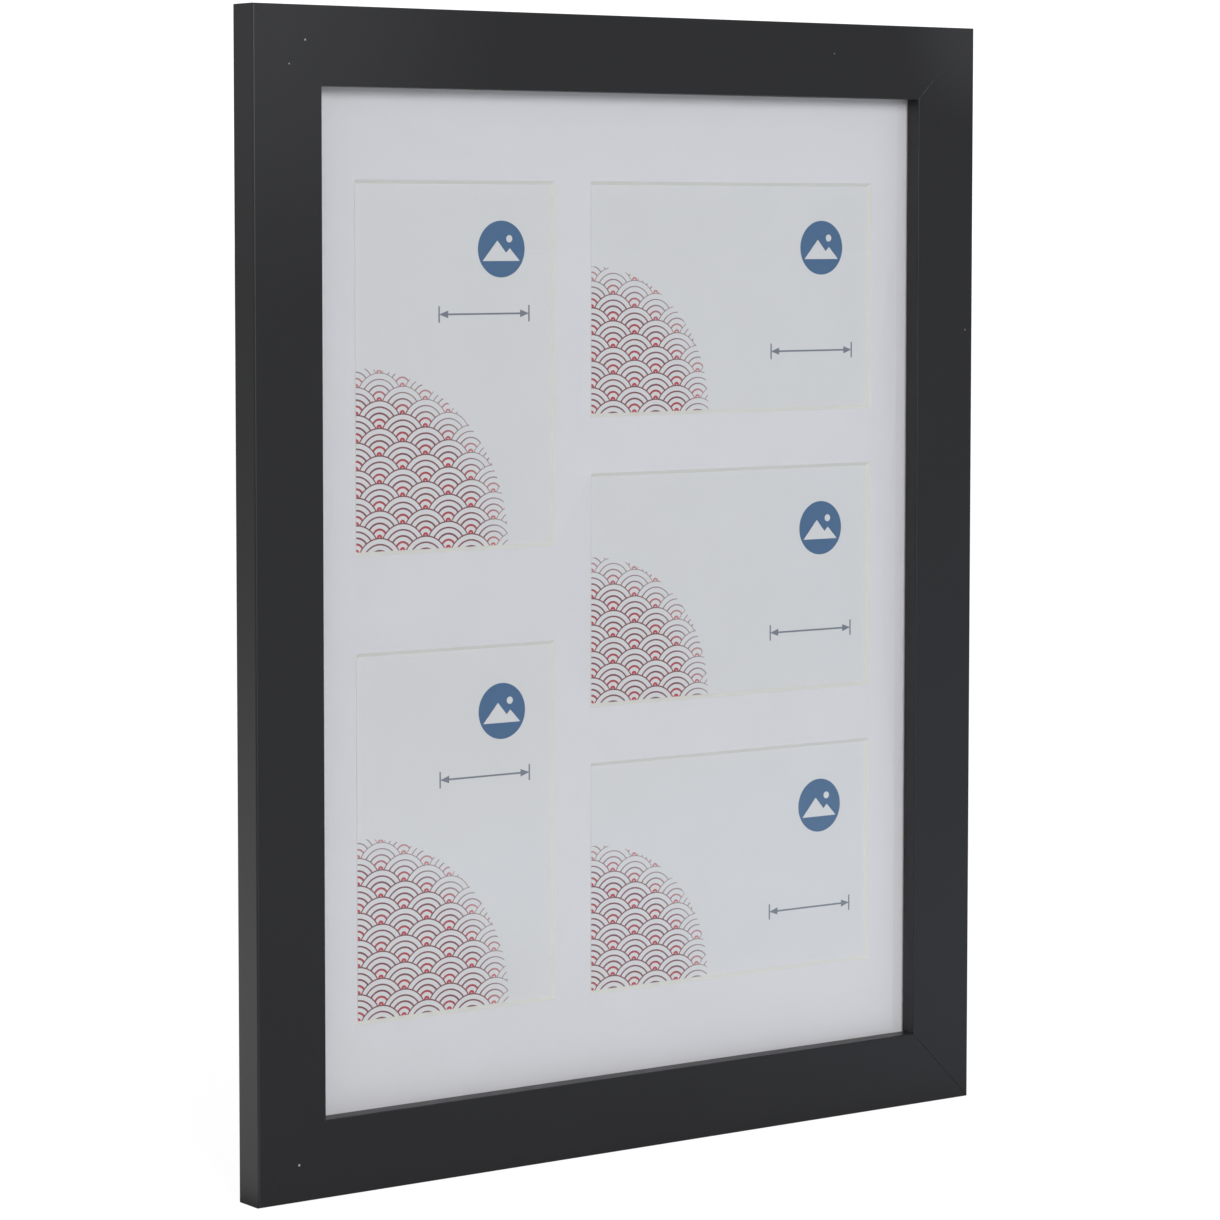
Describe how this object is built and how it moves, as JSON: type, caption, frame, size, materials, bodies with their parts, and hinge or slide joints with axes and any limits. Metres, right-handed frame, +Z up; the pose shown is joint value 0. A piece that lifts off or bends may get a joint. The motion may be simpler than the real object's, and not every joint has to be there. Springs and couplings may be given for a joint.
{
  "type": "collage photo frame",
  "caption": "Wall-hung collage photo frame: mitred black moulding, glass and a white mat with bevelled windows over photo cards, closed behind by a board under turn buttons.",
  "frame": {"origin": "on the frame's back face, at the middle notch of the upper hanger, where the nail goes", "axes": "+Z up, +Y from the front to the wall, +X to the viewer's right"},
  "size_m": [0.35, 0.0169, 0.45],
  "materials": {
    "moulding": "fibreboard wrapped in satin black foil, raw brown at the back",
    "glass": "clear polished float glass",
    "mat": "smooth white board with a cream bevel",
    "photo_card": "satin printed card",
    "tape": "creped masking tape",
    "hardboard": "raw brown hardboard",
    "button_steel": "zinc plated, satin",
    "screw_steel": "zinc plated, bright",
    "hanger_steel": "zinc plated, satin",
    "nail_steel": "plain spring steel"
  },
  "bodies": {
    "frame": {"top_rail": "moulding", "bottom_rail": "moulding", "left_stile": "moulding", "right_stile": "moulding", "v_nails": "nail_steel", "glass_pane": "glass", "mat_board": "mat", "photo_upper_left": "photo_card", "photo_lower_left": "photo_card", "photo_upper_right": "photo_card", "photo_middle_right": "photo_card", "photo_lower_right": "photo_card", "photo_tapes": "tape", "backing_board": "hardboard", "turn_button_screws": "screw_steel", "hanger_portrait": "hanger_steel", "hanger_landscape": "hanger_steel", "hanger_screws": "screw_steel"},
    "turn_button_top_left": {"turn_button_top_left": "button_steel"},
    "turn_button_top_right": {"turn_button_top_right": "button_steel"},
    "turn_button_bottom_left": {"turn_button_bottom_left": "button_steel"},
    "turn_button_bottom_right": {"turn_button_bottom_right": "button_steel"},
    "turn_button_left_upper": {"turn_button_left_upper": "button_steel"},
    "turn_button_left_lower": {"turn_button_left_lower": "button_steel"},
    "turn_button_right_upper": {"turn_button_right_upper": "button_steel"},
    "turn_button_right_lower": {"turn_button_right_lower": "button_steel"}
  },
  "joints": [
    {"name": "turn_button_top_left_turn", "type": "hinge", "parent": "frame", "child": "turn_button_top_left", "pos_m": [-0.0875, 0, -0.00145], "axis": [0, 1, 0], "range_deg": [-180, 180]},
    {"name": "turn_button_top_right_turn", "type": "hinge", "parent": "frame", "child": "turn_button_top_right", "pos_m": [0.0875, 0, -0.00145], "axis": [0, 1, 0], "range_deg": [-180, 180]},
    {"name": "turn_button_bottom_left_turn", "type": "hinge", "parent": "frame", "child": "turn_button_bottom_left", "pos_m": [-0.0875, 0, -0.41745], "axis": [0, 1, 0], "range_deg": [-180, 180]},
    {"name": "turn_button_bottom_right_turn", "type": "hinge", "parent": "frame", "child": "turn_button_bottom_right", "pos_m": [0.0875, 0, -0.41745], "axis": [0, 1, 0], "range_deg": [-180, 180]},
    {"name": "turn_button_left_upper_turn", "type": "hinge", "parent": "frame", "child": "turn_button_left_upper", "pos_m": [-0.158, 0, -0.09695], "axis": [0, 1, 0], "range_deg": [-180, 180]},
    {"name": "turn_button_left_lower_turn", "type": "hinge", "parent": "frame", "child": "turn_button_left_lower", "pos_m": [-0.158, 0, -0.32195], "axis": [0, 1, 0], "range_deg": [-180, 180]},
    {"name": "turn_button_right_upper_turn", "type": "hinge", "parent": "frame", "child": "turn_button_right_upper", "pos_m": [0.158, 0, -0.09695], "axis": [0, 1, 0], "range_deg": [-180, 180]},
    {"name": "turn_button_right_lower_turn", "type": "hinge", "parent": "frame", "child": "turn_button_right_lower", "pos_m": [0.158, 0, -0.32195], "axis": [0, 1, 0], "range_deg": [-180, 180]}
  ]
}
